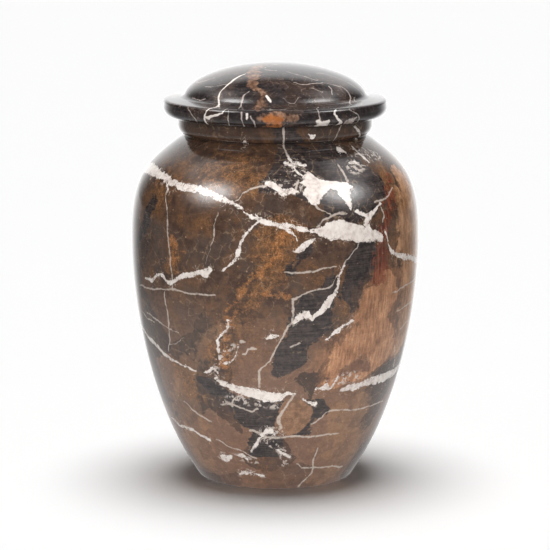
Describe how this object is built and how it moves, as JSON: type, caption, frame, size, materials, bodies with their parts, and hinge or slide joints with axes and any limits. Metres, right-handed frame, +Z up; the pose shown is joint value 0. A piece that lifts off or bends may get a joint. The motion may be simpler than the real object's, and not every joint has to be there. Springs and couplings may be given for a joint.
{
  "type": "cremation urn",
  "caption": "Turned marble cremation urn: hollow ovoid body on a flat foot, rolled neck, and a lift-off domed lid with a rounded rim.",
  "frame": {"origin": "centre of the flat underside", "axes": "+Z up along the turning axis, -Y towards the side that shows the large pale veins"},
  "size_m": [0.184, 0.184, 0.2654],
  "materials": {
    "brown_marble": "polished brown marble with cream veins",
    "dark_marble": "polished dark brown marble with thin pale veins"
  },
  "bodies": {
    "root": {"urn_body": "brown_marble", "lid": "dark_marble"}
  },
  "joints": []
}
